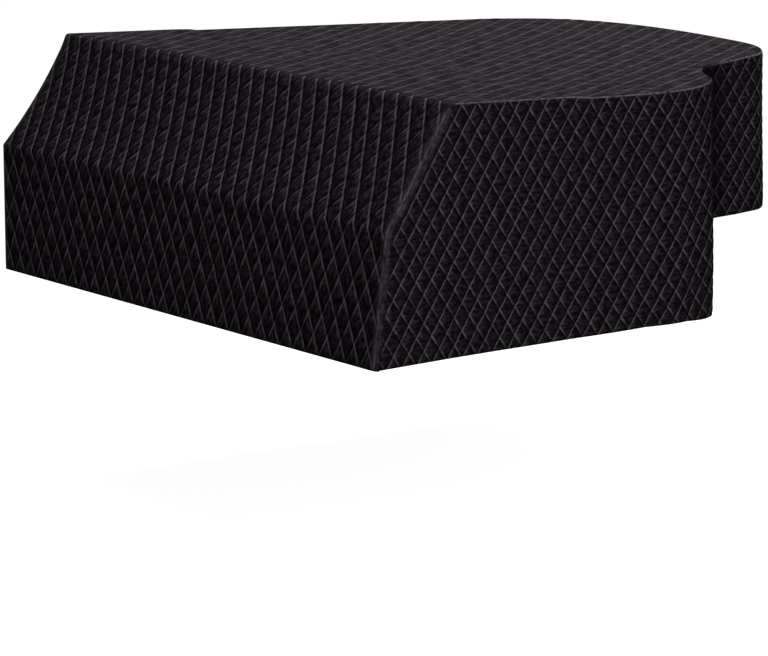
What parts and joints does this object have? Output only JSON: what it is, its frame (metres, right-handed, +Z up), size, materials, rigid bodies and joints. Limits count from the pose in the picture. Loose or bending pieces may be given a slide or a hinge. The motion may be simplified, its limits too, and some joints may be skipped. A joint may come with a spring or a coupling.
{
  "type": "grand piano cover",
  "caption": "Fitted quilted cloth cover for a grand piano: a top cut to the case's plan, a sloping front that folds over the keyboard, and hanging side walls with a stepped hem, open below.",
  "frame": {"origin": "the middle of the top's inner face, where the piano's lid carries the cover", "axes": "+X from the bass side to the treble side, +Y from the keyboard towards the tail, +Z up"},
  "size_m": [1.5169, 1.6698, 0.5398],
  "materials": {
    "top_panel": "matt black quilted polyester",
    "front_panel": "matt black quilted polyester",
    "treble_panel": "matt black quilted polyester",
    "tail_panel": "matt black quilted polyester",
    "bass_panel": "matt black quilted polyester"
  },
  "bodies": {
    "root": {"top_panel": "top_panel", "front_panel": "front_panel", "treble_panel": "treble_panel", "tail_panel": "tail_panel", "bass_panel": "bass_panel"}
  },
  "joints": []
}
